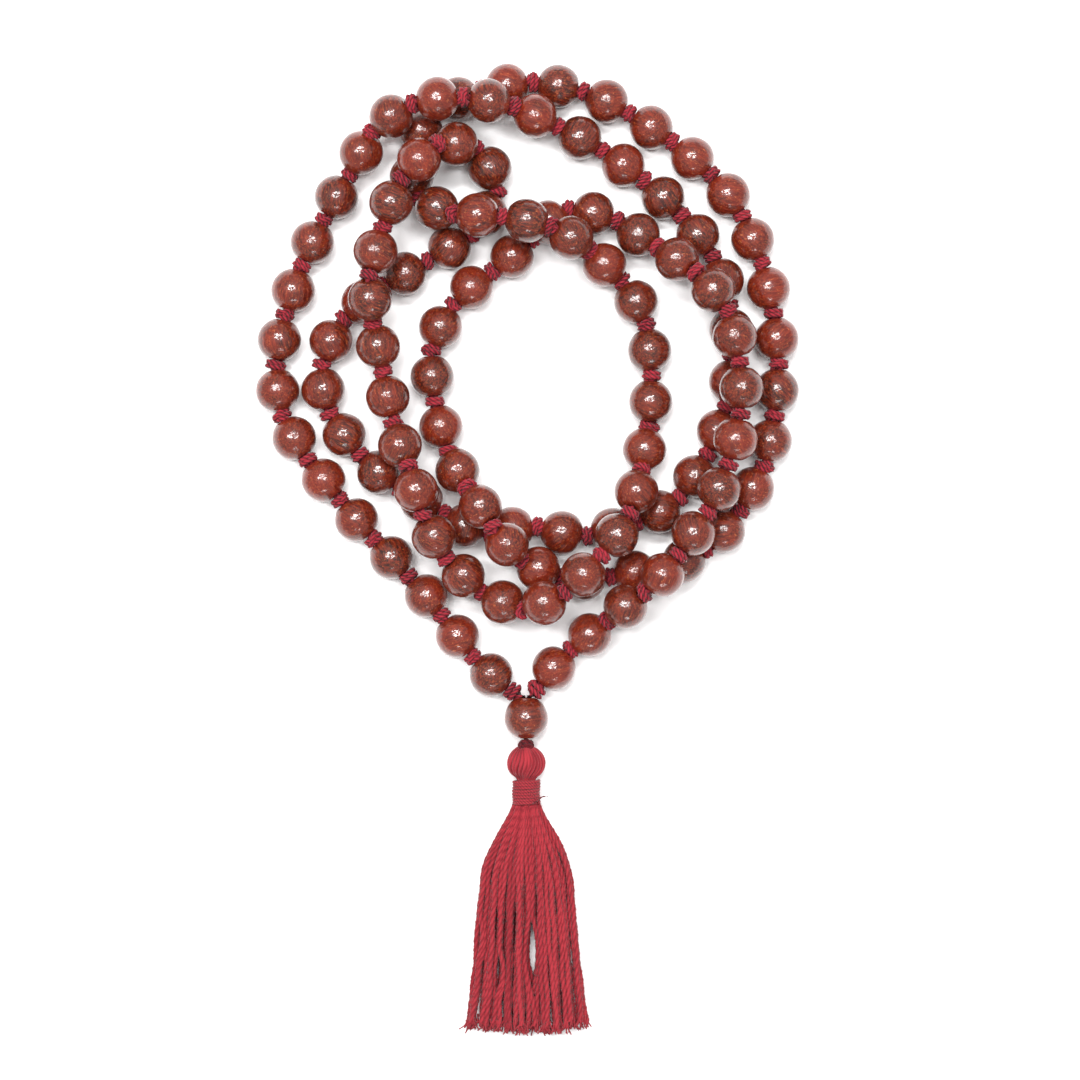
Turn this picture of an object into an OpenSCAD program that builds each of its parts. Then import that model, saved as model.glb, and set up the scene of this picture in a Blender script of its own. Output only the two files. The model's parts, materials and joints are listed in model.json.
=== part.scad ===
// Knotted prayer-bead mala lying coiled flat, with a guru bead and a tassel.
// +Z is up from the table, the tassel points towards -Y. Millimetres.

/* [Beads] */
// Diameter of a turned bead across its thread
bead_d = 8; // [6:0.5:10]
// Depth of the flat turned on a bead at each end of its hole
bead_flat = 0.35; // [0.2:0.05:0.5]
// Diameter of the guru bead
guru_d = 8; // [7:0.5:10]

/* [Thread] */
// Diameter of the twisted cotton thread
thread_d = 1; // [0.7:0.1:1.2]
// Diameter of a knot
knot_d = 3.4; // [2.6:0.1:3.8]
// Space that a knot takes between two beads
knot_len = 2.1; // [1.8:0.1:2.6]
// Diameter of the knot that stops the thread's ends under the guru bead
end_knot_d = 2.8; // [2.5:0.1:3.4]

/* [Tassel] */
// Diameter of the tassel's head
head_d = 7; // [5.8:0.2:8.4]
// Diameter of the wound collar
collar_d = 5.2; // [4.2:0.2:6.4]
// Length of the wound collar
collar_len = 5; // [4:0.5:7]
// Thickness of the collar's winding
winding_t = 0.6; // [0.4:0.1:0.9]
// Length of the skirt below the collar
skirt_len = 41; // [32:1:52]
// Width of the skirt at its shoulder
shoulder_w = 17; // [14:0.5:21]
// Width of the skirt at its cut end
skirt_w = 24.5; // [20:0.5:30]
// Thickness of the skirt as it lies
skirt_t = 6; // [5:0.2:7]

/* [Fit] */
// Room for the thread in the hole of a bead, across the hole
bore_gap = 0.4; // [0.2:0.1:1]
// Room for both ends of the thread in the guru bead's hole, across the hole
guru_bore_gap = 0.4; // [0.3:0.1:1]
// Gap between a knot and the bead that it touches
knot_gap = 0.05; // [0.03:0.01:0.1]
// Running gap between pieces that swing past each other
swing_gap = 0.3; // [0.2:0.05:0.4]
// Gap between pieces that are wound or tied tight
tight_gap = 0.03; // [0.01:0.01:0.1]

/* [Hidden] */
bead_count = 108;
single_count = 16;
group_size = 4;
group_count = (bead_count - 2 * single_count) / group_size;
bead_len = bead_d - 2 * bead_flat;
bore_d = thread_d + bore_gap;
guru_bore_d = 2 * thread_d + guru_bore_gap;
pitch = bead_len + knot_len;
strand_len = bead_count * pitch + knot_len;
curve_steps = 8;
thread_sides = 8;
knot_axis_gap = 0.05;

// Route of the thread from the guru bead round four turns and back: x, y and
// the rise above a bead that lies on the table.
ROUTE = [
    [-1.9, -26.6, 0], [-6.7, -23.4, 0], [-17.5, -9.5, 0], [-30, 4, 0], [-41.5, 18.5, 0],
    [-45.5, 27, 0], [-45.5, 36.5, 0], [-40, 54, 0], [-31, 70, 1.5], [-26, 77.5, 6],
    [-17.5, 81, 8], [-8, 81, 7.5], [0.5, 79, 4.5], [8.5, 75.5, 1], [16.5, 71, 0],
    [30.5, 58.5, 0], [35.5, 50.5, 0], [37.5, 41.5, 0], [37.5, 32, 0], [36, 23, 0],
    [26.5, 7.5, 0], [18, 4, 0], [8.5, 2, 0], [-0.5, 4.5, 0], [-9.5, 2.5, 0], [-17, 8, 0],
    [-25, 12, 0], [-37, 26.5, 0], [-37, 35.5, 0], [-32, 43.5, 0], [-16.5, 53.5, 0],
    [-8.5, 59, 0], [-5, 67.5, 0], [-10.5, 73.5, 3], [-17.5, 72, 9], [-23.5, 64.5, 8],
    [-26.5, 55.5, 7.5], [-28.5, 46.5, 9.5], [-27, 38, 4.5], [-23.5, 20, 4.5],
    [-20, 12, 8.5], [-17.5, 3, 7.5], [-12.5, -4, 4], [-5, -10, 2], [3.5, -10.5, 8],
    [10.5, -4.5, 9], [16.5, 2, 8.5], [20, 10, 7], [21.5, 18, 0.5], [23, 27, 0],
    [20.5, 45.5, 0], [13.5, 52, 1.5], [8, 56.5, 8], [-1, 59.5, 7], [-10, 60, 9],
    [-17, 61.5, 3], [-22, 69, 0], [-18.5, 77.5, 0], [-11.5, 83, 0], [7, 84.5, 0],
    [23.5, 76.5, 0], [37.5, 64, 0], [44.5, 47, 0], [46, 28.5, 0], [41.5, 10.5, 0],
    [29, -3, 0], [20, -4, 0], [11, -6, 0], [2, -3.8, 1.5], [-4, 1, 9], [-9, 9, 7],
    [-13.5, 15.5, 1], [-17.5, 33.5, 0], [-15, 42.5, 0], [-8.5, 49, 0], [-1, 54, 0],
    [5, 61.5, 0], [14, 61, 0], [22, 56, 1.5], [28.5, 51.5, 6.5], [35, 45.5, 8],
    [39, 27.5, 8], [34.5, 9.5, 7], [29.5, 2, 7.5], [24, -6, 8], [17, -11, 5],
    [11, -16.5, 0], [4.6, -21.5, 0], [1.9, -26.6, 0]
];

// A smooth curve through the route's points
function gap_of(a, b) = sqrt(norm(b - a));
function before(k) = k > 0 ? ROUTE[k - 1] : 2 * ROUTE[0] - ROUTE[1];
function after(k) = k + 2 < len(ROUTE) ? ROUTE[k + 2] : 2 * ROUTE[k + 1] - ROUTE[k];
function slope(p, q, r, a, b) = (q - p) / a - (r - p) / (a + b) + (r - q) / b;
function blend(p, q, u, v, t) =
    (2 * pow(t, 3) - 3 * t * t + 1) * p + (pow(t, 3) - 2 * t * t + t) * u
    + (3 * t * t - 2 * pow(t, 3)) * q + (pow(t, 3) - t * t) * v;
function on_table(p) = [p[0], p[1], max(0, p[2])];
function stretch(k) =
    let (p = before(k), q = ROUTE[k], r = ROUTE[k + 1], s = after(k))
    let (a = gap_of(p, q), b = gap_of(q, r), c = gap_of(r, s))
    let (u = b * slope(p, q, r, a, b), v = b * slope(q, r, s, b, c))
    [for (j = [0 : curve_steps - 1]) on_table(blend(q, r, u, v, j / curve_steps))];
drawn = concat([for (k = [0 : len(ROUTE) - 2]) each stretch(k)], [ROUTE[len(ROUTE) - 1]]);
function lengths(c) =
    [for (i = 0, l = 0; i < len(c); i = i + 1,
        l = l + (i < len(c) ? norm(c[i] - c[i - 1]) : 0)) l];
drawn_len = lengths(drawn);

// The whole lay grows or shrinks until it holds the beads and the knots
lay = strand_len / drawn_len[len(drawn) - 1];
function axis_table(n) = [for (i = [0 : len(drawn) - 1]) [lay * drawn_len[i], lay * drawn[i][n]]];
table_x = axis_table(0);
table_y = axis_table(1);
table_z = axis_table(2);
function along(s) = [lookup(s, table_x), lookup(s, table_y), bead_d / 2 + lookup(s, table_z)];
hole_in = [for (i = [0 : bead_count - 1]) along(knot_len + i * pitch)];
hole_out = [for (i = [0 : bead_count - 1]) along(knot_len + i * pitch + bead_len)];
strand_start = along(0);
strand_end = along(strand_len);

// Places below the strand, from the guru bead down
guru_len = guru_d - 2 * bead_flat;
guru_room = 0.75;
tail_x = thread_d / 2 + knot_axis_gap;
guru_top_y = strand_start[1] - guru_room;
guru_y = guru_top_y - guru_len / 2;
guru_low_y = guru_top_y - guru_len;
guru_z = max(bead_d, guru_d) / 2;
pivot_y = guru_low_y - end_knot_d / 2 - knot_gap;
head_room = 0.15;
head_y = guru_low_y - head_d / 2 - 2 * swing_gap - head_room * guru_d / 2;
head_z = head_d / 2 + 0.1;
neck_d = collar_d - 2 * winding_t;
head_low_y = head_y - sqrt(head_d * head_d - neck_d * neck_d) / 2;
collar_y = head_low_y - collar_len;
collar_z = collar_d / 2 + 0.6;
skirt_z = skirt_t / 2 + 0.1;
skirt_top_d = skirt_t - 1.2;
sway_y = collar_y - swing_gap - skirt_top_d / 2;
skirt_end_y = collar_y - skirt_len;
shoulder_y = collar_y - 11;
edge_d = 4;

// The middle of the object's outline stands over the origin
centres = [for (i = [0 : bead_count - 1]) (hole_in[i] + hole_out[i]) / 2];
all_x = [for (c = centres) c[0]];
all_y = [for (c = centres) c[1]];
origin_x = (max(all_x) + min(all_x)) / 2;
origin_y = (max(all_y) + bead_d / 2 + skirt_end_y) / 2;

WOOD = "#7a2a1c";
COTTON = "#a02c38";

function three(n) = str(n < 100 ? "0" : "", n < 10 ? "0" : "", n);
function single_name(i) = str("bead_", three(i + 1));
function group_first(g) = single_count + g * group_size;
function group_name(g) = str("beads_", three(group_first(g) + 1), "_", three(group_first(g) + group_size));
SINGLES = [
    for (i = [0 : single_count - 1]) i,
    for (i = [bead_count - single_count : bead_count - 1]) i
];

// Puts a child drawn on the Z axis onto the line from a to b
module on_line(a, b) {
    d = b - a;
    translate((a + b) / 2)
        rotate([0, acos(d[2] / norm(d)), atan2(d[1], d[0])])
            children();
}

// Moves the lay so that its outline is centred on the origin
module placed() {
    translate([-origin_x, -origin_y, 0]) children();
}

module drilled_ball(d, length, bore) {
    difference() {
        intersection() {
            sphere(d = d, $fn = 48);
            cylinder(d = d + 2, h = length, center = true, $fn = 48);
        }
        cylinder(d = bore, h = d + 2, center = true, $fn = 32);
    }
}

module bead(i) {
    color(WOOD) placed() on_line(hole_in[i], hole_out[i]) drilled_ball(bead_d, bead_len, bore_d);
}

module bead_group(g) {
    for (i = [group_first(g) : group_first(g) + group_size - 1]) bead(i);
}

// Everything on the far side of a bead's flat, seen from the knot
module behind_flat(face, into_bead) {
    u = into_bead / norm(into_bead);
    translate(face - u * knot_gap)
        rotate([0, acos(u[2]), atan2(u[1], u[0])])
            translate([0, 0, knot_d]) cube(2 * knot_d, center = true);
}

// A knot from point a to point b, pressed flat by the beads beside it
module knot(a, b, axis_a, axis_b) {
    difference() {
        on_line(a, b) difference() {
            sphere(d = knot_d, $fn = 32);
            cylinder(d = thread_d + 2 * tight_gap, h = 2 * knot_d, center = true, $fn = 24);
        }
        behind_flat(a, -axis_a);
        behind_flat(b, axis_b);
    }
}

// Where a bead's axis meets its flat: side -1 is where the thread goes in, 1 where it comes out
function bead_axis(i) = (hole_out[i] - hole_in[i]) / norm(hole_out[i] - hole_in[i]);
function bead_face(i, side) = (hole_in[i] + hole_out[i]) / 2 + side * bead_len / 2 * bead_axis(i);

module knots() {
    last = bead_count - 1;
    final_axis = strand_end - hole_out[last];
    color(COTTON) placed() {
        knot(strand_start, bead_face(0, -1), hole_in[0] - strand_start, bead_axis(0));
        for (i = [0 : last - 1])
            knot(bead_face(i, 1), bead_face(i + 1, -1), bead_axis(i), bead_axis(i + 1));
        knot(bead_face(last, 1), strand_end, bead_axis(last), final_axis);
    }
}

// The thread runs up through the guru bead, round the strand and down again
thread_path = concat(
    [[-tail_x, guru_low_y + knot_gap, guru_z], [-tail_x, guru_top_y + 0.2, guru_z], strand_start],
    [for (i = [0 : bead_count - 1]) each [hole_in[i], hole_out[i]]],
    [strand_end, [tail_x, guru_top_y + 0.2, guru_z], [tail_x, guru_low_y + knot_gap, guru_z]]
);
function unit(v) = v / norm(v);
function heading(p, i) = unit(p[min(i + 1, len(p) - 1)] - p[max(i - 1, 0)]);
function ring(p, i) =
    let (t = heading(p, i), side = unit(cross(t, [0, 0, 1])), up = cross(side, t))
    [for (k = [0 : thread_sides - 1])
        p[i] + thread_d / 2 * (cos(360 * k / thread_sides) * side + sin(360 * k / thread_sides) * up)];
function wall(n) = [
    for (i = [0 : n - 2]) for (k = [0 : thread_sides - 1])
        let (a = i * thread_sides + k, b = i * thread_sides + (k + 1) % thread_sides)
        each [[a, b, b + thread_sides], [a, b + thread_sides, a + thread_sides]]
];

module thread() {
    n = len(thread_path);
    points = [for (i = [0 : n - 1]) each ring(thread_path, i)];
    first = [for (k = [0 : thread_sides - 1]) thread_sides - 1 - k];
    final = [for (k = [0 : thread_sides - 1]) (n - 1) * thread_sides + k];
    color(COTTON) placed() polyhedron(points, concat([first], wall(n), [final]), convexity = 20);
}

module guru_bead() {
    color(WOOD) placed() translate([0, guru_y, guru_z])
        rotate([90, 0, 0]) drilled_ball(guru_d, guru_len, guru_bore_d);
}

// Ball knot in the thread's two tails: the tassel swings on it
module end_knot() {
    color(COTTON) placed() translate([0, pivot_y, guru_z]) sphere(d = end_knot_d, $fn = 32);
}

// Looped strands round the end knot, with the neck that the collar binds
module tassel_head() {
    color(COTTON) placed() difference() {
        union() {
            translate([0, head_y, head_z]) sphere(d = head_d, $fn = 48);
            translate([0, head_y, collar_z])
                rotate([90, 0, 0]) cylinder(d = neck_d, h = head_y - collar_y, $fn = 48);
        }
        translate([0, pivot_y, guru_z]) sphere(d = end_knot_d + 2 * swing_gap, $fn = 48);
    }
}

// Winding round the neck, its upper edge seated against the head
module tassel_collar() {
    turns = 6;
    step = collar_len / turns;
    color(COTTON) placed() difference() {
        translate([0, collar_y, collar_z]) rotate([-90, 0, 0]) difference() {
            rotate_extrude($fn = 48)
                translate([neck_d / 2 + tight_gap, 0]) square([winding_t - tight_gap, collar_len]);
            for (k = [1 : turns - 1])
                translate([0, 0, k * step]) rotate_extrude($fn = 48)
                    translate([collar_d / 2 + step / 8, 0]) circle(d = step / 2, $fn = 16);
        }
        translate([0, head_y, head_z]) sphere(d = head_d + 2 * tight_gap, $fn = 48);
    }
}

// The cut strands, fanned out flat on the table
module tassel_skirt() {
    color(COTTON) placed() hull() {
        translate([0, sway_y, skirt_z]) sphere(d = skirt_top_d, $fn = 32);
        for (s = [-1, 1]) {
            translate([s * (shoulder_w / 2 - edge_d / 2), shoulder_y, skirt_z])
                sphere(d = edge_d, $fn = 24);
            translate([s * (skirt_w / 2 - edge_d / 2), skirt_end_y + edge_d / 2, skirt_z])
                sphere(d = edge_d, $fn = 24);
            translate([s * shoulder_w / 5, shoulder_y, skirt_z]) sphere(d = skirt_t, $fn = 24);
            translate([s * skirt_w / 4, skirt_end_y + skirt_t / 2, skirt_z])
                sphere(d = skirt_t, $fn = 24);
        }
    }
}

thread();
knots();
guru_bead();
end_knot();
tassel_head();
tassel_collar();
tassel_skirt();
for (i = SINGLES) bead(i);
for (g = [0 : group_count - 1]) bead_group(g);
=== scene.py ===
import json
import math

import bpy
import numpy as np
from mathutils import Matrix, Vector


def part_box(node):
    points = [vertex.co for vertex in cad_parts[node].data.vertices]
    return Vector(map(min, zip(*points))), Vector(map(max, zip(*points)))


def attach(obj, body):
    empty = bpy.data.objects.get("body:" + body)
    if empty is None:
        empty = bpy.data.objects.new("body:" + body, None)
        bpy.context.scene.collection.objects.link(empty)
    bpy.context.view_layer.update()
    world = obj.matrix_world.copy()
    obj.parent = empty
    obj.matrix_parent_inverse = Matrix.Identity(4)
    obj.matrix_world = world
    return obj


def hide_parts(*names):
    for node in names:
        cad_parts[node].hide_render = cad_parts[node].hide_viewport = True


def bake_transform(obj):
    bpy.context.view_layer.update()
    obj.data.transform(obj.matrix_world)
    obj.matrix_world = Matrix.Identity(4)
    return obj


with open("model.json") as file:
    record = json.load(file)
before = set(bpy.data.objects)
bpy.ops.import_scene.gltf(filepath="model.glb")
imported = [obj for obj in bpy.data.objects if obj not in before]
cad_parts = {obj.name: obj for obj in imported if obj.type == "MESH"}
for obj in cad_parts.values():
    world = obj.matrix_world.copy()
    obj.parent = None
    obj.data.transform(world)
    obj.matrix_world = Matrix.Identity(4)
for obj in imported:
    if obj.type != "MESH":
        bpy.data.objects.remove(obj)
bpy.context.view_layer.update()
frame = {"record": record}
MM = 0.001

# --- Camera ------------------------------------------------------------------------
# The strand lies on a table and is seen from straight above. The long lens keeps
# the beads at the edge of the lay as round as those in the middle.
VIEW_WIDTH = 196.6 * MM
VIEW_CENTRE = (2.3 * MM, 1.3 * MM)
STRAND_MIDDLE_Z = 6 * MM
camera = bpy.data.objects.new("camera", bpy.data.cameras.new("camera"))
bpy.context.scene.collection.objects.link(camera)
camera.data.lens = 100
camera.data.sensor_width = 36
camera.location = (*VIEW_CENTRE, VIEW_WIDTH * camera.data.lens / camera.data.sensor_width + STRAND_MIDDLE_Z)
camera.data.clip_start = 0.01
bpy.context.scene.camera = camera

# --- Thread ------------------------------------------------------------------------
# Twisted cotton thread, one run of it: up through the guru bead, round four loose
# turns through all the beads, and down through the guru bead again. It swells
# where it is knotted between two beads.
ROUTE = np.array([
    (-1.9, -26.6, 0), (-6.7, -23.4, 0), (-17.5, -9.5, 0), (-30, 4, 0), (-41.5, 18.5, 0),
    (-45.5, 27, 0), (-45.5, 36.5, 0), (-40, 54, 0), (-31, 70, 1.5), (-26, 77.5, 6),
    (-17.5, 81, 8), (-8, 81, 7.5), (0.5, 79, 4.5), (8.5, 75.5, 1), (16.5, 71, 0),
    (30.5, 58.5, 0), (35.5, 50.5, 0), (37.5, 41.5, 0), (37.5, 32, 0), (36, 23, 0),
    (26.5, 7.5, 0), (18, 4, 0), (8.5, 2, 0), (-0.5, 4.5, 0), (-9.5, 2.5, 0), (-17, 8, 0),
    (-25, 12, 0), (-37, 26.5, 0), (-37, 35.5, 0), (-32, 43.5, 0), (-16.5, 53.5, 0),
    (-8.5, 59, 0), (-5, 67.5, 0), (-10.5, 73.5, 3), (-17.5, 72, 9), (-23.5, 64.5, 8),
    (-26.5, 55.5, 7.5), (-28.5, 46.5, 9.5), (-27, 38, 4.5), (-23.5, 20, 4.5),
    (-20, 12, 8.5), (-17.5, 3, 7.5), (-12.5, -4, 4), (-5, -10, 2), (3.5, -10.5, 8),
    (10.5, -4.5, 9), (16.5, 2, 8.5), (20, 10, 7), (21.5, 18, 0.5), (23, 27, 0),
    (20.5, 45.5, 0), (13.5, 52, 1.5), (8, 56.5, 8), (-1, 59.5, 7), (-10, 60, 9),
    (-17, 61.5, 3), (-22, 69, 0), (-18.5, 77.5, 0), (-11.5, 83, 0), (7, 84.5, 0),
    (23.5, 76.5, 0), (37.5, 64, 0), (44.5, 47, 0), (46, 28.5, 0), (41.5, 10.5, 0),
    (29, -3, 0), (20, -4, 0), (11, -6, 0), (2, -3.8, 1.5), (-4, 1, 9), (-9, 9, 7),
    (-13.5, 15.5, 1), (-17.5, 33.5, 0), (-15, 42.5, 0), (-8.5, 49, 0), (-1, 54, 0),
    (5, 61.5, 0), (14, 61, 0), (22, 56, 1.5), (28.5, 51.5, 6.5), (35, 45.5, 8),
    (39, 27.5, 8), (34.5, 9.5, 7), (29.5, 2, 7.5), (24, -6, 8), (17, -11, 5),
    (11, -16.5, 0), (4.6, -21.5, 0), (1.9, -26.6, 0),
]) * MM
BEAD_COUNT = 108
BEAD_D = 8 * MM
BEAD_LEN = 7.3 * MM
KNOT_LEN = 2.1 * MM
KNOT_D = 3.4 * MM
THREAD_D = 1 * MM
GURU_ROOM = 0.75 * MM
CURVE_STEPS = 8


def curve_through(points, steps):
    """A smooth curve through given points, never below the table."""
    made = []
    for k in range(len(points) - 1):
        q, r = points[k], points[k + 1]
        p = points[k - 1] if k > 0 else 2 * q - r
        s = points[k + 2] if k + 2 < len(points) else 2 * r - q
        a, b, c = (math.sqrt(np.linalg.norm(v - u) / MM) for u, v in ((p, q), (q, r), (r, s)))
        leave = b * ((q - p) / a - (r - p) / (a + b) + (r - q) / b)
        arrive = b * ((r - q) / b - (s - q) / (b + c) + (s - r) / c)
        for t in np.arange(steps) / steps:
            h = (2 * t**3 - 3 * t**2 + 1, t**3 - 2 * t**2 + t, 3 * t**2 - 2 * t**3, t**3 - t**2)
            made.append(h[0] * q + h[1] * leave + h[2] * r + h[3] * arrive)
    made = np.array([*made, points[-1]])
    made[:, 2] = np.maximum(made[:, 2], 0)
    return made


drawn = curve_through(ROUTE, CURVE_STEPS)
drawn_len = np.r_[0, np.cumsum(np.linalg.norm(np.diff(drawn, axis=0), axis=1))]
PITCH = BEAD_LEN + KNOT_LEN
STRAND_LEN = BEAD_COUNT * PITCH + KNOT_LEN
LAY = STRAND_LEN / drawn_len[-1]

guru_low, guru_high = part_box("guru_bead")
guru_centre = np.array((guru_low + guru_high) / 2)
guru_len = guru_high.y - guru_low.y
route_start = drawn[0] * LAY
shift = guru_centre + (0, GURU_ROOM + guru_len / 2, 0) - (0, route_start[1], 0)


def along_strand(s):
    """The place on the thread at a length s from the guru bead."""
    return shift + [np.interp(s, drawn_len * LAY, drawn[:, n] * LAY) for n in range(3)]


hole_in = np.array([along_strand(KNOT_LEN + i * PITCH) for i in range(BEAD_COUNT)])
hole_out = np.array([along_strand(KNOT_LEN + i * PITCH + BEAD_LEN) for i in range(BEAD_COUNT)])
knot_from = np.array([along_strand(0), *hole_out])
knot_to = np.array([*hole_in, along_strand(STRAND_LEN)])


def add_node(tree, kind, inputs=(), **settings):
    """A node with its settings made and its sockets linked or set."""
    made = tree.nodes.new(kind)
    for name, value in settings.items():
        setattr(made, name, value)
    for key, value in dict(inputs).items():
        if isinstance(value, bpy.types.NodeSocket):
            tree.links.new(value, made.inputs[key])
        else:
            made.inputs[key].default_value = value
    return made


def math_node(tree, operation, *values):
    return add_node(tree, "ShaderNodeMath", dict(enumerate(values)), operation=operation).outputs[0]


def new_tree(name, kind, takes, gives):
    """An empty node tree with named inputs and outputs."""
    tree = bpy.data.node_groups.new(name, kind)
    for in_out, sockets in (("INPUT", takes), ("OUTPUT", gives)):
        for label, socket in sockets.items():
            tree.interface.new_socket(label, in_out=in_out, socket_type="NodeSocket" + socket)
    return tree, tree.nodes.new("NodeGroupInput").outputs, tree.nodes.new("NodeGroupOutput")


def grown(obj, tree, **values):
    """Runs a geometry tree on an object and keeps its result as a plain mesh."""
    modifier = obj.modifiers.new(tree.name, "NODES")
    modifier.node_group = tree
    for item in tree.interface.items_tree:
        if item.in_out == "INPUT" and item.name in values:
            modifier[item.identifier] = values[item.name]
    obj.data.update()
    depsgraph = bpy.context.evaluated_depsgraph_get()
    plain = bpy.data.meshes.new_from_object(
        obj.evaluated_get(depsgraph), preserve_all_data_layers=True, depsgraph=depsgraph)
    obj.modifiers.clear()
    obj.data = plain
    return obj


def named(tree, name, kind="FLOAT"):
    return add_node(tree, "GeometryNodeInputNamedAttribute", {"Name": name}, data_type=kind).outputs[0]


def stored(tree, geometry, name, value, kind="FLOAT"):
    return add_node(tree, "GeometryNodeStoreNamedAttribute",
                    {"Geometry": geometry, "Name": name, "Value": value},
                    data_type=kind, domain="POINT").outputs[0]


# Three plies twisted together: a lobed round section swept along each line.
twisted, given, result = new_tree(
    "twisted strand", "GeometryNodeTree",
    {"Geometry": "Geometry", "Sides": "Int", "Ply relief": "Float", "Twist length": "Float",
     "Cotton": "Material"}, {"Geometry": "Geometry"})
lines = add_node(twisted, "GeometryNodeMeshToCurve", {"Mesh": given["Geometry"]}).outputs[0]
run = add_node(twisted, "GeometryNodeSplineParameter").outputs["Length"]
turn = math_node(twisted, "DIVIDE", math_node(twisted, "MULTIPLY", run, math.tau), given["Twist length"])
lines = add_node(twisted, "GeometryNodeSetCurveTilt", {"Curve": lines, "Tilt": turn}).outputs[0]
lines = stored(twisted, lines, "run", run)
section = add_node(twisted, "GeometryNodeCurvePrimitiveCircle",
                   {"Resolution": given["Sides"], "Radius": 1.0}).outputs[0]
place = add_node(twisted, "GeometryNodeInputPosition").outputs[0]
spot = add_node(twisted, "ShaderNodeSeparateXYZ", {0: place}).outputs
angle = math_node(twisted, "ARCTAN2", spot["Y"], spot["X"])
lobe = math_node(twisted, "COSINE", math_node(twisted, "MULTIPLY", angle, 3.0))
reach = math_node(twisted, "MULTIPLY_ADD", lobe, given["Ply relief"], 1.0)
section = stored(twisted, section, "ply", place, "FLOAT_VECTOR")
section = add_node(twisted, "GeometryNodeSetPosition", {
    "Geometry": section,
    "Position": add_node(twisted, "ShaderNodeVectorMath", {0: place, "Scale": reach},
                         operation="SCALE").outputs[0]}).outputs[0]
swept = add_node(twisted, "GeometryNodeCurveToMesh",
                 {"Curve": lines, "Profile Curve": section, "Scale": named(twisted, "girth"),
                  "Fill Caps": True}).outputs[0]
swept = add_node(twisted, "GeometryNodeRealizeInstances", {"Geometry": swept}).outputs[0]
swept = add_node(twisted, "GeometryNodeSetShadeSmooth", {"Geometry": swept}).outputs[0]
swept = add_node(twisted, "GeometryNodeSetMaterial",
                 {"Geometry": swept, "Material": given["Cotton"]}).outputs[0]
twisted.links.new(swept, result.inputs[0])

# Cotton: crimson on the crown of each ply and a wine red painted shade in the grooves between plies, with
# fibre fuzz.
cotton_look, given, result = new_tree(
    "dyed cotton", "ShaderNodeTree",
    {"Crown": "Color", "Groove shade": "Color", "Fuzz scale": "Float", "Groove width": "Float"},
    {"Color": "Color", "Roughness": "Float", "Height": "Float"})
ply = add_node(cotton_look, "ShaderNodeAttribute", attribute_name="ply").outputs["Vector"]
spot = add_node(cotton_look, "ShaderNodeSeparateXYZ", {0: ply}).outputs
angle = math_node(cotton_look, "ARCTAN2", spot["Y"], spot["X"])
lobe = math_node(cotton_look, "COSINE", math_node(cotton_look, "MULTIPLY", angle, 3.0))
# Crown against groove: the darker colour in the grooves between the plies is painted shade.
crown = add_node(cotton_look, "ShaderNodeMapRange", {
    "Value": lobe, "From Min": -1.0, "From Max": given["Groove width"]}).outputs[0]
where = add_node(cotton_look, "ShaderNodeTexCoord").outputs["Object"]
fibre = add_node(cotton_look, "ShaderNodeTexNoise", {
    "Vector": where, "Scale": given["Fuzz scale"], "Detail": 3.0, "Roughness": 0.65}).outputs[0]
run = add_node(cotton_look, "ShaderNodeAttribute", attribute_name="run").outputs["Fac"]
hair_at = add_node(cotton_look, "ShaderNodeCombineXYZ", {
    0: math_node(cotton_look, "MULTIPLY", angle, 5.0), 1: math_node(cotton_look, "MULTIPLY", run, 900.0)})
hair = add_node(cotton_look, "ShaderNodeTexNoise", {
    "Vector": hair_at.outputs[0], "Scale": 1.0, "Detail": 2.0}).outputs[0]
# Each strand's tone: random, with painted shade on the head's inner layer and painted light and shade
# across the skirt's rows.
tone_and_shade = add_node(cotton_look, "ShaderNodeAttribute", attribute_name="tone_and_shade").outputs["Fac"]
mottle = add_node(cotton_look, "ShaderNodeTexNoise", {
    "Vector": where, "Scale": 260.0, "Detail": 2.0}).outputs[0]
# Mix factor: painted shade in the grooves, with fibre, hair and mottle noise and each strand's tone on top.
painted_shade_and_fibre = crown
for noise, strength in ((fibre, 0.9), (hair, 0.9), (mottle, 0.7)):
    about_zero = math_node(cotton_look, "SUBTRACT", noise, 0.5)
    painted_shade_and_fibre = math_node(cotton_look, "MULTIPLY_ADD", about_zero, strength, painted_shade_and_fibre)
painted_shade_and_fibre = math_node(cotton_look, "ADD", painted_shade_and_fibre, tone_and_shade)
shade = add_node(cotton_look, "ShaderNodeMix", {
    "Factor": painted_shade_and_fibre, 6: given["Groove shade"], 7: given["Crown"]}, data_type="RGBA").outputs[2]
height = math_node(cotton_look, "MULTIPLY_ADD", hair, 0.5, math_node(cotton_look, "MULTIPLY", fibre, 0.5))
cotton_look.links.new(shade, result.inputs["Color"])
cotton_look.links.new(math_node(cotton_look, "MULTIPLY_ADD", fibre, 0.15, 0.78), result.inputs["Roughness"])
cotton_look.links.new(height, result.inputs["Height"])


FUZZ_SCALE = 3500.0
FUZZ_DEPTH = 0.00015
SHEEN = 0.12


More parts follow.
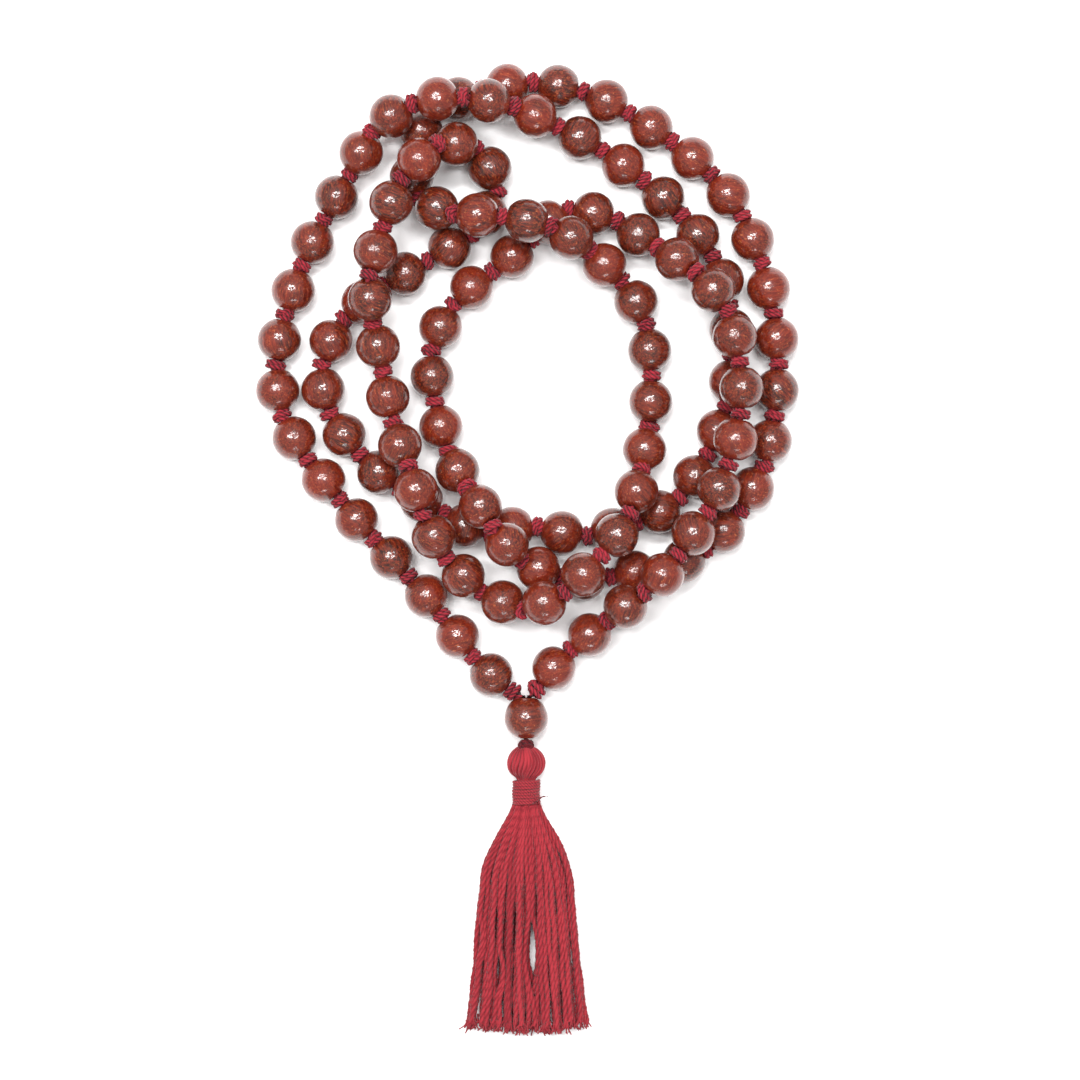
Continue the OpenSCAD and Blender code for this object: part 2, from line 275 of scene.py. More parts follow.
def cotton(name, crown, groove_shade, groove_width=0.3):
    """Matte dyed cotton with two reds: its own on the crowns, a darker one as painted shade in the grooves.
    """
    made = bpy.data.materials.new(name)
    made.use_nodes = True
    tree = made.node_tree
    shader = tree.nodes["Principled BSDF"]
    look = add_node(tree, "ShaderNodeGroup", node_tree=cotton_look)
    for label, value in (("Crown", crown), ("Groove shade", groove_shade), ("Fuzz scale", FUZZ_SCALE),
                         ("Groove width", groove_width)):
        look.inputs[label].default_value = value
    fuzz_bump = add_node(tree, "ShaderNodeBump", {
        "Height": look.outputs["Height"], "Strength": 0.6, "Distance": FUZZ_DEPTH})
    tree.links.new(look.outputs["Color"], shader.inputs["Base Color"])
    tree.links.new(look.outputs["Roughness"], shader.inputs["Roughness"])
    tree.links.new(fuzz_bump.outputs[0], shader.inputs["Normal"])
    shader.inputs["Specular IOR Level"].default_value = 0.2
    shader.inputs["Sheen Weight"].default_value = SHEEN
    shader.inputs["Sheen Roughness"].default_value = 0.4
    return made


def strands(name, paths, girths, tones_and_shade, tree, **values):
    """One mesh of swept strands, from a list of paths with a girth and a tone for each point; the tone also
    carries painted shade for some strands.
    """
    mesh = bpy.data.meshes.new(name)
    points = np.concatenate(paths)
    starts = np.cumsum([0, *[len(p) for p in paths]])
    edges = [(i, i + 1) for a, b in zip(starts[:-1], starts[1:]) for i in range(a, b - 1)]
    mesh.from_pydata([tuple(p) for p in points], edges, [])
    for label, rows in (("girth", girths), ("tone_and_shade", tones_and_shade)):
        full = [np.broadcast_to(v, len(p)) for v, p in zip(rows, paths)]
        mesh.attributes.new(label, "FLOAT", "POINT").data.foreach_set(
            "value", np.concatenate(full).astype(np.float32))
    made = bpy.data.objects.new(name, mesh)
    bpy.context.scene.collection.objects.link(made)
    return grown(made, tree, **values)


# The two tails lie side by side in the guru bead's hole and show a little above it.
TAIL_X = THREAD_D / 2 + 0.05 * MM
TAIL_SHOWS = 0.2 * MM
TAIL_HIDES = 0.05 * MM
tail_top = guru_high.y + TAIL_SHOWS
tail_low = guru_low.y + TAIL_HIDES
tail = [np.array([guru_centre[0] - TAIL_X, y, guru_centre[2]]) for y in (tail_low, tail_top)]
tail_back = [np.array([guru_centre[0] + TAIL_X, y, guru_centre[2]]) for y in (tail_top, tail_low)]
# How far along a knot, and how many times its own width the thread is there.
KNOT_SWELL = ((0.0, 1.0), (0.25, 1.8), (0.5, 2.1), (0.75, 1.8), (1.0, 1.0))
thread_path, thread_girth = list(tail), [THREAD_D / 2] * 2
for i in range(BEAD_COUNT + 1):
    for share, girth in KNOT_SWELL:
        thread_path.append(knot_from[i] + share * (knot_to[i] - knot_from[i]))
        thread_girth.append(girth * THREAD_D / 2)
    if i < BEAD_COUNT:
        thread_path.append((hole_in[i] + hole_out[i]) / 2)
        thread_girth.append(THREAD_D / 2)
thread_path += tail_back
thread_girth += [THREAD_D / 2] * 2
thread_path = np.array(thread_path)
# The second red is painted shade for the grooves between the plies.
thread_cotton = cotton("thread_cotton", (0.25, 0.020, 0.030, 1), (0.075, 0.006, 0.010, 1))
thread = strands("strand_thread", [thread_path], [np.array(thread_girth)], [0.0], twisted,
                 **{"Sides": 9, "Ply relief": 0.08, "Twist length": 3 * MM, "Cotton": thread_cotton})
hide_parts("thread")
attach(thread, "root")

# --- Knots -------------------------------------------------------------------------
# After each bead the thread is tied in an overhand knot and pulled tight against
# it: two wraps round the thread, with one pass slanting back over them.
knot_dice = np.random.default_rng(27)
WRAP_TURNS = 2.1
WRAP_D = 0.9 * MM
KNOT_PLIES = {"Sides": 9, "Ply relief": 0.14, "Twist length": 2.6 * MM}


def side_axes(direction):
    """Two unit vectors square to a direction."""
    along = direction / np.linalg.norm(direction)
    first = np.cross(along, (0.0, 0.0, 1.0))
    first /= np.linalg.norm(first)
    return along, first, np.cross(first, along)


def knot_path(start, end, width, roll, hand):
    """The thread's path through one overhand knot that fills the space from start to end."""
    along, first, second = side_axes(end - start)
    reach = np.linalg.norm(end - start) / 2
    belly = (width - WRAP_D) / 2
    # A row is a place along the knot, a distance from its middle line and an angle.
    rows = [(-reach, 0.0, 0.0), (-0.75 * reach, 0.5 * belly, 0.4)]
    for t in np.linspace(0, 1, 26):
        rows.append(((1.5 * t - 0.75) * reach, belly * (0.80 + 0.20 * math.sin(math.pi * t)),
                     0.8 + t * WRAP_TURNS * math.tau))
    last = rows[-1][2]
    for t in np.linspace(0.15, 1, 8):
        rows.append(((0.75 - 1.4 * t) * reach, belly * (0.86 + 0.30 * math.sin(math.pi * t)),
                     last + 1.5 * t))
    rows += [(-0.3 * reach, 0.4 * belly, last + 1.9), (0.4 * reach, 0.2 * belly, last + 2.2),
             (reach, 0.0, 0.0)]
    centre = (start + end) / 2
    return np.array([
        centre + w * along + r * (math.cos(hand * a + roll) * first + math.sin(hand * a + roll) * second)
        for w, r, a in rows])


knot_paths, knot_tones = [], []
tied_from, tied_to = knot_from.copy(), knot_to.copy()
# The first and last knots are pulled down towards the guru bead.
tied_from[0] = (2 * tail[1] + knot_from[0]) / 3
tied_to[-1] = (2 * tail_back[0] + knot_to[-1]) / 3
for a, b in zip(tied_from, tied_to):
    width = KNOT_D * knot_dice.uniform(1.02, 1.14)
    roll = knot_dice.uniform(0, math.tau)
    knot_paths.append(knot_path(a, b, width, roll, 1))
    knot_tones.append(knot_dice.uniform(-0.15, 0.2))
# The second red is painted shade for the grooves between the plies.
knot_cotton = cotton("knot_cotton", (0.30, 0.020, 0.032, 1), (0.055, 0.004, 0.008, 1), groove_width=0.6)
knots = strands("wound_knots", knot_paths, [WRAP_D / 2] * len(knot_paths), knot_tones, twisted,
                Cotton=knot_cotton, **KNOT_PLIES)
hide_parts("knots")
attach(knots, "root")

# --- Beads -------------------------------------------------------------------------
# Rosewood balls turned on a small lathe, cut flat where the hole comes out, dyed
# and lacquered to a high gloss. No two are quite alike in shape, tone or grain.
BORE_D = 1.4 * MM
RIM_ROUND = 0.22 * MM
BEAD_SIDES = 40
UNEVENNESS = 0.4 * MM
BEAD_SEED = 5


def turned_outline(width, length, bore):
    """Half-section of a bead as (radius, height) pairs, from its lower hole round to its upper."""
    radius, half = width / 2, length / 2
    flat = math.sqrt(radius**2 - half**2)
    lowest = math.asin(half / radius)
    round_part = np.linspace(-0.93 * lowest, 0.93 * lowest, 19)
    arc = [(radius * math.cos(t), radius * math.sin(t)) for t in round_part]
    lip = [(bore / 2, half - 2 * RIM_ROUND), (bore / 2 + 0.1 * RIM_ROUND, half - 0.7 * RIM_ROUND),
           (bore / 2 + 0.5 * RIM_ROUND, half - 0.15 * RIM_ROUND), (bore / 2 + RIM_ROUND, half)]
    edge = [(0.55 * flat + 0.45 * (bore / 2 + RIM_ROUND), half),
            (flat - 0.4 * RIM_ROUND, half - 0.1 * RIM_ROUND)]
    upper = lip + edge
    return [(r, -z) for r, z in upper] + arc + [(r, z) for r, z in reversed(upper)]


def turned_bead(name, width, length, bore):
    """The lathe's pattern for a bead, on the Z axis: a closed ring of faces with the hole through it."""
    outline = turned_outline(width, length, bore)
    count = len(outline)
    points = [(r * math.cos(a), r * math.sin(a), z)
              for a in np.arange(BEAD_SIDES) * math.tau / BEAD_SIDES for r, z in outline]
    faces = [(i * count + k, (i + 1) % BEAD_SIDES * count + k,
              (i + 1) % BEAD_SIDES * count + (k + 1) % count, i * count + (k + 1) % count)
             for i in range(BEAD_SIDES) for k in range(count)]
    mesh = bpy.data.meshes.new(name)
    mesh.from_pydata(points, [], faces)
    return bpy.data.objects.new(name, mesh)


bead_pattern = turned_bead("bead_pattern", BEAD_D, BEAD_LEN, BORE_D)

strung, given, result = new_tree(
    "turned beads", "GeometryNodeTree",
    {"Geometry": "Geometry", "Pattern": "Object", "Wobble": "Float", "Seed": "Int", "Rosewood": "Material"},
    {"Geometry": "Geometry"})
pattern = add_node(strung, "GeometryNodeObjectInfo", {"Object": given["Pattern"]}).outputs["Geometry"]
pattern_place = add_node(strung, "GeometryNodeInputPosition").outputs[0]
pattern = stored(strung, pattern, "turned", pattern_place, "FLOAT_VECTOR")
aim = add_node(strung, "FunctionNodeEulerToRotation", {0: named(strung, "aim", "FLOAT_VECTOR")}).outputs[0]
spots = add_node(strung, "GeometryNodeMeshToPoints", {"Mesh": given["Geometry"]}).outputs[0]
beads = add_node(strung, "GeometryNodeInstanceOnPoints",
                 {"Points": spots, "Instance": pattern, "Rotation": aim}).outputs[0]
beads = add_node(strung, "GeometryNodeRealizeInstances", {"Geometry": beads}).outputs[0]
own = add_node(strung, "ShaderNodeVectorMath", {
    0: named(strung, "turned", "FLOAT_VECTOR"), "Scale": 150.0}, operation="SCALE").outputs[0]
bead_id = named(strung, "bead")
wave = add_node(strung, "ShaderNodeTexNoise", {
    "Vector": own, "W": math_node(strung, "MULTIPLY_ADD", bead_id, 7.3, given["Seed"]), "Scale": 1.0,
    "Detail": 1.0}, noise_dimensions="4D").outputs[0]
swell = math_node(strung, "MULTIPLY", math_node(strung, "SUBTRACT", wave, 0.5), given["Wobble"])
outward = add_node(strung, "GeometryNodeInputNormal").outputs[0]
beads = add_node(strung, "GeometryNodeSetPosition", {
    "Geometry": beads,
    "Offset": add_node(strung, "ShaderNodeVectorMath", {0: outward, "Scale": swell},
                       operation="SCALE").outputs[0]}).outputs[0]
beads = add_node(strung, "GeometryNodeSetShadeSmooth", {"Geometry": beads}).outputs[0]
beads = add_node(strung, "GeometryNodeSetMaterial", {
    "Geometry": beads, "Material": given["Rosewood"]}).outputs[0]
strung.links.new(beads, result.inputs[0])

# Rosewood figure: each bead has its own grain direction, tone and patches.
figure, given, result = new_tree(
    "rosewood figure", "ShaderNodeTree",
    {"Dark": "Color", "Body": "Color", "Bright": "Color", "Fleck": "Color"},
    {"Color": "Color", "Roughness": "Float", "Height": "Float", "Orange peel": "Float"})
own = add_node(figure, "ShaderNodeAttribute", attribute_name="turned").outputs["Vector"]
bead_id = add_node(figure, "ShaderNodeAttribute", attribute_name="bead").outputs["Fac"]
luck = add_node(figure, "ShaderNodeTexWhiteNoise", {"W": bead_id}, noise_dimensions="1D").outputs
spin = add_node(figure, "ShaderNodeVectorMath", {0: luck["Color"], "Scale": math.tau},
                operation="SCALE").outputs[0]
grain = add_node(figure, "ShaderNodeVectorRotate", {"Vector": own, "Rotation": spin},
                 rotation_type="EULER_XYZ").outputs[0]
grain = add_node(figure, "ShaderNodeVectorMath", {
    0: grain, 1: add_node(figure, "ShaderNodeVectorMath", {0: luck["Color"], "Scale": 0.4},
                          operation="SCALE").outputs[0]}).outputs[0]


def stretched_noise(stretch, detail, roughness=0.6):
    """Noise that runs along the bead's own grain."""
    at = add_node(figure, "ShaderNodeVectorMath", {0: grain, 1: stretch}, operation="MULTIPLY").outputs[0]
    return add_node(figure, "ShaderNodeTexNoise", {
        "Vector": at, "Scale": 1.0, "Detail": detail, "Roughness": roughness}).outputs[0]


def remapped(value, low, high):
    return add_node(figure, "ShaderNodeMapRange", {
        "Value": value, "From Min": low, "From Max": high}).outputs[0]


def mixed(factor, a, b):
    return add_node(figure, "ShaderNodeMix", {"Factor": factor, 6: a, 7: b}, data_type="RGBA").outputs[2]


patches = stretched_noise((190, 330, 330), 3.0)
streaks = stretched_noise((260, 2600, 2600), 4.0, 0.7)
pores = stretched_noise((900, 9000, 9000), 2.0)
flecks = stretched_noise((1500, 3200, 3200), 3.0, 0.75)
bead_tone = math_node(figure, "MULTIPLY", math_node(figure, "SUBTRACT", luck["Value"], 0.55), 0.9)
body = math_node(figure, "ADD", remapped(patches, 0.3, 0.7), bead_tone)
colour = mixed(body, given["Dark"], given["Body"])
colour = mixed(math_node(figure, "MULTIPLY", remapped(streaks, 0.42, 0.68), 0.75), colour, given["Bright"])
colour = mixed(math_node(figure, "MULTIPLY", remapped(flecks, 0.57, 0.70), 0.6), colour, given["Fleck"])
colour = mixed(math_node(figure, "MULTIPLY", remapped(pores, 0.56, 0.68), 0.5), colour, given["Dark"])
figure.links.new(colour, result.inputs["Color"])
figure.links.new(math_node(figure, "MULTIPLY_ADD", streaks, 0.25, 0.32), result.inputs["Roughness"])
figure.links.new(math_node(figure, "SUBTRACT", streaks, math_node(figure, "MULTIPLY", pores, 0.4)),
                 result.inputs["Height"])
figure.links.new(stretched_noise((700, 1100, 1100), 2.0), result.inputs["Orange peel"])

PEEL_DEPTH = 0.0002
GRAIN_DEPTH = 0.00004
rosewood = bpy.data.materials.new("lacquered_rosewood")
rosewood.use_nodes = True
tree = rosewood.node_tree
shader = tree.nodes["Principled BSDF"]
look = add_node(tree, "ShaderNodeGroup", node_tree=figure)
for label, value in (("Dark", (0.018, 0.0035, 0.0025, 1)), ("Body", (0.115, 0.0075, 0.003, 1)),
                     ("Bright", (0.27, 0.030, 0.008, 1)), ("Fleck", (0.55, 0.15, 0.04, 1))):
    look.inputs[label].default_value = value
peel = add_node(tree, "ShaderNodeBump", {
    "Height": look.outputs["Orange peel"], "Strength": 0.5, "Distance": PEEL_DEPTH})
grain_bump = add_node(tree, "ShaderNodeBump", {
    "Height": look.outputs["Height"], "Strength": 0.3, "Distance": GRAIN_DEPTH, "Normal": peel.outputs[0]})
tree.links.new(look.outputs["Color"], shader.inputs["Base Color"])
tree.links.new(look.outputs["Roughness"], shader.inputs["Roughness"])
tree.links.new(grain_bump.outputs[0], shader.inputs["Normal"])
tree.links.new(peel.outputs[0], shader.inputs["Coat Normal"])
shader.inputs["Coat Weight"].default_value = 0.9
shader.inputs["Coat Roughness"].default_value = 0.07
shader.inputs["Specular IOR Level"].default_value = 0.2


def string_beads(name, centres, directions, numbers, pattern_object):
    """Beads of one body, each on its stretch of thread."""
    mesh = bpy.data.meshes.new(name)
    mesh.from_pydata([tuple(c) for c in centres], [], [])
    aims = [Vector(d).to_track_quat("Z", "Y").to_euler() for d in directions]
    mesh.attributes.new("aim", "FLOAT_VECTOR", "POINT").data.foreach_set("vector", np.ravel(aims))
    mesh.attributes.new("bead", "FLOAT", "POINT").data.foreach_set("value", numbers)
    made = bpy.data.objects.new(name, mesh)
    bpy.context.scene.collection.objects.link(made)
    return grown(made, strung, **{
        "Pattern": pattern_object, "Wobble": UNEVENNESS, "Seed": BEAD_SEED, "Rosewood": rosewood})


bead_centres = (hole_in + hole_out) / 2
bead_lines = hole_out - hole_in
# The single beads turn, each on a body of its own. The others lie fast with the strand.
bodies = frame["record"]["behaviour"]["bodies"]
for body_name, members in bodies.items():
    held = sorted(n for n in members if n.startswith("bead"))
    if not held:
        continue
    numbers = []
    for n in held:
        ends = [int(x) for x in n.split("_")[1:]]
        numbers += range(ends[0] - 1, ends[-1])
    piece = string_beads("strung_beads" if body_name == "root" else body_name + "_turned",
                         bead_centres[numbers], bead_lines[numbers],
                         [float(n + 1) for n in numbers], bead_pattern)
    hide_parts(*held)
    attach(piece, body_name)

# --- Guru bead ---------------------------------------------------------------------
# The bead that marks the start of the count. Its hole is wider, for both ends of
# the thread.
GURU_NUMBER = 109.0
GURU_BORE_D = 2.4 * MM
guru_pattern = turned_bead("guru_pattern", guru_high.x - guru_low.x, guru_len, GURU_BORE_D)
guru = string_beads("guru_bead_turned", [guru_centre], [(0, 1, 0)], [GURU_NUMBER], guru_pattern)
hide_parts("guru_bead")
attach(guru, "guru_bead")

# --- End knot ----------------------------------------------------------------------
# Both ends of the thread are tied off under the guru bead in a ball knot, which
# the tassel hangs on.
end_low, end_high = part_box("end_knot")
end_centre = np.array((end_low + end_high) / 2)
end_d = end_high.x - end_low.x
END_DRAWN_IN = 0.3 * MM
half_end = np.array((0, end_d / 2 - END_DRAWN_IN, 0))
end_paths = [knot_path(end_centre + half_end, end_centre - half_end, end_d, roll, hand)
             for roll, hand in ((0.6, 1), (2.4, -1))]
# Both reds here are a darker copy of the thread's: painted shade over the whole ball knot, besides the
# painted shade in its grooves.
end_shaded_cotton = cotton("end_knot_shaded_cotton", (0.11, 0.008, 0.012, 1), (0.035, 0.003, 0.005, 1))
end_knot = strands("end_knot_wraps", end_paths, [WRAP_D / 2] * 2, [-0.1, 0.0], twisted,
                   Cotton=end_shaded_cotton, **KNOT_PLIES)
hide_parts("end_knot")
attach(end_knot, "tassel_link")

# --- Tassel head -------------------------------------------------------------------
# The tassel's strands are folded over the end knot, so each runs up one side of the
# head and down the other. Their loops make the ball.
head_low, head_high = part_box("tassel_head")
collar_low, collar_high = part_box("tassel_collar")
head_d = head_high.x - head_low.x
head_centre = np.array((head_low + head_high) / 2)
HEAD_RISE = 0.3 * MM
head_centre[1] = head_high.y + HEAD_RISE - head_d / 2
collar_centre = np.array((collar_low + collar_high) / 2)
collar_d = collar_high.x - collar_low.x
head_dice = np.random.default_rng(11)
HEAD_STRANDS = 26
INNER_FEWER = 6
STRAND_D = 1 * MM
# A strand's loop starts and stops at these angles from the head's own middle line.
CROWN_ANGLE = 0.40
NECK_ANGLE = 0.62
head_paths, head_girths, head_tones_and_shade = [], [], []
for layer, squeeze in ((0, 1.0), (1, 0.80)):
    layer_count = HEAD_STRANDS - INNER_FEWER * layer
    for k in range(layer_count):
        turn = (k + head_dice.uniform(-0.2, 0.2)) * math.tau / layer_count
        lean = head_dice.uniform(-0.12, 0.12)
        path, girth = [], []
        for t in np.linspace(0, 1, 30):
            polar = CROWN_ANGLE + t * (math.pi - CROWN_ANGLE - NECK_ANGLE)
            ball = (head_d - STRAND_D) / 2 * squeeze * (1 + 0.03 * math.sin(5 * turn))
            r, y = ball * math.sin(polar), ball * math.cos(polar)
            z_mid = head_centre[2] + (collar_centre[2] - head_centre[2]) * t
            a = turn + lean * (t - 0.5) + 0.1 * math.sin(math.tau * t + turn)
            path.append((head_centre[0] + r * math.cos(a), head_centre[1] + y, z_mid + r * math.sin(a)))
            girth.append(STRAND_D / 2 * (0.55 + 0.5 * math.sin(math.pi * min(1, t * 1.05))))
        neck_top = path[-1]
        for y in np.linspace(neck_top[1] - 0.6 * MM, collar_low.y, 4):
            path.append((collar_centre[0] + (neck_top[0] - collar_centre[0]) * 0.8, y,
                         collar_centre[2] + (neck_top[2] - collar_centre[2]) * 0.8))
            girth.append(STRAND_D * 0.28)
        head_paths.append(np.array(path))
        head_girths.append(np.array(girth))
        # Each strand's tone is random; the inner layer is also made darker as painted shade under the outer
        # strands.
        head_tones_and_shade.append(head_dice.uniform(-0.35, 0.3) - 0.5 * layer)
# The second red is painted shade for the grooves between the plies.
tassel_cotton = cotton("tassel_cotton", (0.32, 0.024, 0.034, 1), (0.17, 0.011, 0.017, 1), groove_width=0.6)
head = strands("tassel_head_strands", head_paths, head_girths, head_tones_and_shade, twisted,
               **{"Sides": 9, "Ply relief": 0.06, "Twist length": 16 * MM, "Cotton": tassel_cotton})
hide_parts("tassel_head")
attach(head, "tassel")

# --- Tassel collar -----------------------------------------------------------------
# Finer thread wound round the neck to bind it, its last end drawn through and cut
# short at one side.
WINDING_D = 0.62 * MM
WINDING_PITCH = 0.93 * WINDING_D
WINDING_STEPS = 36
WINDING_SHIFT = 0.07 * MM
# The way of the cut end from the collar's lower middle, in millimetres.
CUT_END = ((1.2, 0.6, 2.3), (1.9, 1.1, 2.2), (2.6, 1.7, 1.6), (3.2, 1.9, 1.3), (4.0, 1.8, 1.4))
collar_len = collar_high.y - collar_low.y
winding_turns = int(collar_len / WINDING_PITCH)
winding_dice = np.random.default_rng(3)
wobble = winding_dice.uniform(-1, 1, winding_turns + 2)
path = []
for t in np.linspace(0, 1, winding_turns * WINDING_STEPS):
    a = t * winding_turns * math.tau
    r = (collar_d - WINDING_D) / 2 + WINDING_SHIFT * math.sin(3 * a + t * 9)
    y = collar_high.y - WINDING_D / 2 - t * (collar_len - WINDING_D)
    drift = np.interp(t * (winding_turns + 1), range(winding_turns + 2), wobble)
    y += WINDING_SHIFT * drift * math.sin(a)
    path.append((collar_centre[0] + r * math.cos(a), y, collar_centre[2] + r * math.sin(a)))
cut_end = [(collar_centre[0] + x * MM, collar_low.y + y * MM, collar_centre[2] + z * MM)
           for x, y, z in CUT_END]
cross_r = collar_d / 2 + 0.05 * MM
cross_over = [(collar_centre[0] + cross_r * math.cos(a), collar_low.y + y * MM,
               collar_centre[2] + cross_r * math.sin(a))
              for a, y in zip(np.linspace(0.35, 1.35, 9), np.linspace(0.5, 2.6, 9))]
winding_paths = [np.array(path), np.array(cut_end), np.array(cross_over)]
# The second red is painted shade for the grooves between the plies.
collar_cotton = cotton("winding_cotton", (0.33, 0.027, 0.038, 1), (0.10, 0.008, 0.013, 1))
collar = strands("tassel_collar_winding", winding_paths,
                 [WINDING_D / 2, np.linspace(0.26, 0.12, len(cut_end)) * MM, 0.22 * MM],
                 [0.0, -0.25, -0.15], twisted,
                 **{"Sides": 8, "Ply relief": 0.06, "Twist length": 1.6 * MM, "Cotton": collar_cotton})
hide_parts("tassel_collar")
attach(collar, "tassel")

# --- Tassel skirt ------------------------------------------------------------------
# Below the collar the strands hang free. They lie fanned out flat, cut to about one
# length, and each opens into loose fibres at its end.
skirt_low, skirt_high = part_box("tassel_skirt")
skirt_dice = np.random.default_rng(64)
ROW_COUNTS = (15, 22, 25, 23, 17)
SKIRT_RINGS = 56
FIBRES_EACH = 7
skirt_top = collar_low.y + 0.8 * MM
skirt_len = skirt_top - skirt_low.y
skirt_w = skirt_high.x - skirt_low.x
skirt_t = skirt_high.z - skirt_low.z
SPREAD_AT = (0, 0.04, 0.12, 0.28, 0.5, 0.75, 1)
SPREAD = (0.17, 0.21, 0.42, 0.69, 0.78, 0.88, 1)
# The strands cling in tufts, and part in a few places so the table shows through.
TUFTS = 10
tuft_rise = skirt_dice.uniform(-0.5, 0.6, TUFTS)
tuft_tone = skirt_dice.uniform(-0.45, 0.2, TUFTS)
# Each parting: its distance from the middle in millimetres, where it opens and
# closes along the skirt, and half its width in millimetres.
PARTINGS = ((0.9, 0.48, 0.86, 0.55), (-4.9, 0.64, 0.86, 0.2), (-8.4, 0.50, 0.70, 0.05))
skirt_paths, skirt_girths, skirt_tones_and_shade = [], [], []
fray_paths, fray_girths, fray_tones_and_shade = [], [], []
for row, count in enumerate(ROW_COUNTS):
    level = (row + 0.5) / len(ROW_COUNTS) * 2 - 1
    reach = math.sqrt(1 - level**2 * 0.72)
    for k in range(count):
        side = ((k + 0.5 + skirt_dice.uniform(-0.35, 0.35)) / count * 2 - 1) * reach
        tuft = min(TUFTS - 1, int((side + 1) / 2 * TUFTS))
        cling = (tuft + 0.5) / TUFTS * 2 - 1 - side
        cut = 1 - abs(skirt_dice.normal(0, 0.016)) - 0.02 * abs(side) - 0.012 * skirt_dice.uniform(0, 1)
        phase = skirt_dice.uniform(0, math.tau, 3)
        sway = skirt_dice.uniform(0.15, 0.55) * MM
        lift = skirt_dice.uniform(0.1, 0.35) * MM
        ts = np.linspace(0, cut, SKIRT_RINGS)
        spread = np.interp(ts, SPREAD_AT, SPREAD) * (skirt_w - STRAND_D) / 2
        spread = np.convolve(np.pad(spread, 4, "edge"), np.ones(9) / 9, "valid")
        loose = np.clip(ts * 3, 0, 1)
        x = (side + 0.45 * cling * np.clip(ts * 2 - 0.3, 0, 1)) * spread
        x += loose * sway * np.sin(ts * 6.5 + phase[0]) * (0.4 + 0.6 * ts)
        x += loose * 0.10 * MM * np.sin(ts * 31 + phase[1])
        for gap_x, opens, closes, half_gap in PARTINGS:
            swing = np.clip((ts - opens) / (closes - opens), 0, 1)
            off = x - gap_x * MM
            hand = 1 if off[int(opens * SKIRT_RINGS)] > 0 else -1
            push = np.maximum(half_gap * 1.3 * MM + STRAND_D / 2 - 0.45 * hand * off, 0)
            x += hand * push * np.sin(math.pi * swing) * np.exp(-np.abs(off) / (2.6 * MM))
        thick = np.interp(ts, (0, 0.12, 0.3, 1), (0.62, 0.8, 1, 0.86)) * (skirt_t - STRAND_D) / 2
        round_top = np.sqrt(np.clip(1 - side**2 * np.interp(ts, (0, 0.2, 1), (0.85, 0.5, 0.3)), 0, 1))
        z = (skirt_low.z + skirt_high.z) / 2 + level * thick * round_top
        z += loose * (lift * np.sin(ts * 7 + phase[2]) + tuft_rise[tuft] * MM)
        z = np.maximum(z, STRAND_D / 2 + 0.1 * MM)
        path = np.c_[x + collar_centre[0], skirt_top - ts * skirt_len, z]
        girth = STRAND_D / 2 * np.interp(ts, (0, 0.1, 0.25, cut - 0.03, cut), (0.5, 0.75, 1, 1.05, 1.0))
        # Tuft tone and random tone, plus painted light and shade: the upper rows lighter, the lower rows
        # darker.
        tone_and_shade = tuft_tone[tuft] + skirt_dice.uniform(-0.25, 0.25) + 0.12 * level
        skirt_paths.append(path)
        skirt_girths.append(girth)
        skirt_tones_and_shade.append(tone_and_shade)
        end, before = path[-1], path[-4]
        for _ in range(FIBRES_EACH):
            out = (end - before) / np.linalg.norm(end - before)
            drift = skirt_dice.normal(0, 0.3, 3) * (1, 0.3, 0.6)
            long = skirt_dice.uniform(1.5, 2.4) * MM
            start = end - out * 1.2 * MM + skirt_dice.normal(0, 0.24, 3) * (1, 0, 1) * MM
            fibre = np.array([start + out * long * u + drift * long * u * u for u in np.linspace(0, 1, 5)])
            fibre[:, 2] = np.maximum(fibre[:, 2], 0.25 * MM)
            fray_paths.append(fibre)
            fray_girths.append(np.linspace(0.2, 0.12, 5) * MM)
            fray_tones_and_shade.append(tone_and_shade + 0.15)
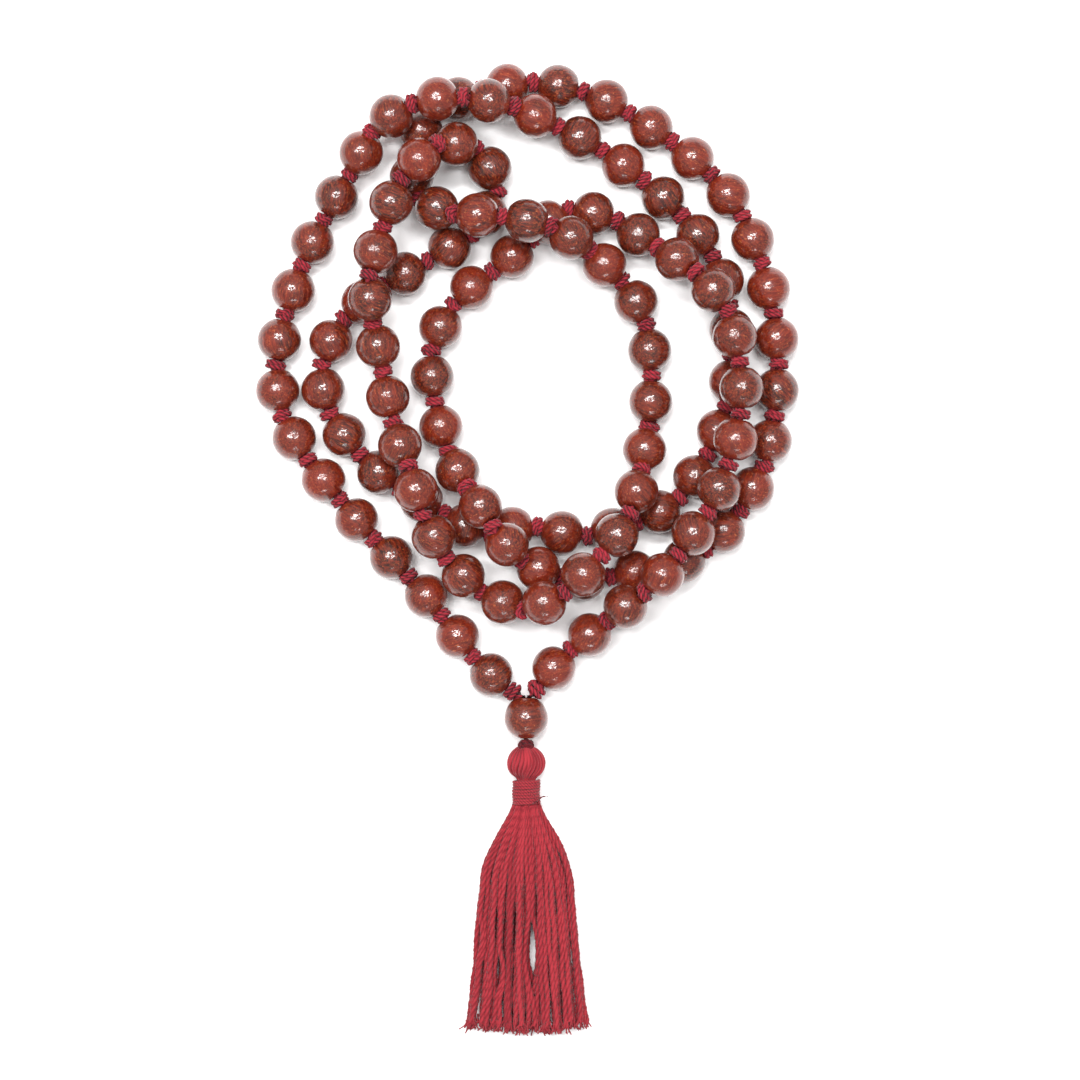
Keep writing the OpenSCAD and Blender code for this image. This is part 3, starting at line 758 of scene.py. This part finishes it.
# One stray fibre lies down the front of the skirt.
stray = np.array([(collar_centre[0] + (1.1 + 0.1 * math.sin(3 * t)) * MM,
                   collar_low.y - (1.2 + 6.3 * t) * MM,
                   skirt_high.z + (0.5 + 0.6 * t) * MM) for t in np.linspace(0, 1, 10)])
fray_paths.append(stray)
fray_girths.append(0.06 * MM)
fray_tones_and_shade.append(0.9)
skirt = strands("tassel_skirt_strands", skirt_paths, skirt_girths, skirt_tones_and_shade, twisted,
                **{"Sides": 9, "Ply relief": 0.09, "Twist length": 5 * MM, "Cotton": tassel_cotton})
frays = strands("tassel_skirt_frays", fray_paths, fray_girths, fray_tones_and_shade, twisted,
                **{"Sides": 4, "Ply relief": 0.0, "Twist length": 9 * MM, "Cotton": tassel_cotton})
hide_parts("tassel_skirt")
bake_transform(skirt)
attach(frays, "skirt")

# --- Table and light ---------------------------------------------------------------
# A plain white table in a white room, lit from a bank of soft boxes overhead.
table_mesh = bpy.data.meshes.new("table")
TABLE_HALF = 1.5
table_mesh.from_pydata(
    [(-TABLE_HALF, -TABLE_HALF, 0), (TABLE_HALF, -TABLE_HALF, 0), (TABLE_HALF, TABLE_HALF, 0),
     (-TABLE_HALF, TABLE_HALF, 0)], [], [(0, 1, 2, 3)])
table = bpy.data.objects.new("table", table_mesh)
bpy.context.scene.collection.objects.link(table)
table_paint = bpy.data.materials.new("table_white")
table_paint.use_nodes = True
paint = table_paint.node_tree.nodes["Principled BSDF"]
paint.inputs["Base Color"].default_value = (0.97, 0.97, 0.97, 1)
paint.inputs["Roughness"].default_value = 0.9
paint.inputs["Specular IOR Level"].default_value = 0.1
table_mesh.materials.append(table_paint)


def soft_box(name, place, size, power):
    """A rectangular soft box that faces the middle of the table."""
    lamp = bpy.data.lights.new(name, "AREA")
    lamp.shape = "RECTANGLE"
    lamp.size, lamp.size_y = size
    lamp.energy = power
    made = bpy.data.objects.new(name, lamp)
    made.location = place
    made.rotation_euler = (-Vector(place)).to_track_quat("-Z", "Y").to_euler()
    bpy.context.scene.collection.objects.link(made)


soft_box("soft_box_top", (-0.03, 0.34, 0.85), (0.46, 0.13), 6.5)
soft_box("soft_box_left", (-0.26, 0.12, 0.88), (0.10, 0.40), 4.5)
soft_box("soft_box_right", (0.16, 0.08, 0.90), (0.09, 0.26), 2.6)
soft_box("soft_box_low", (0.10, -0.95, 0.55), (0.35, 0.10), 1.5)
room = bpy.data.worlds.new("white_room")
bpy.context.scene.world = room
room.use_nodes = True
room.node_tree.nodes["Background"].inputs["Color"].default_value = (1, 1, 1, 1)
room.node_tree.nodes["Background"].inputs["Strength"].default_value = 0.62
bpy.context.scene.view_settings.view_transform = "Standard"
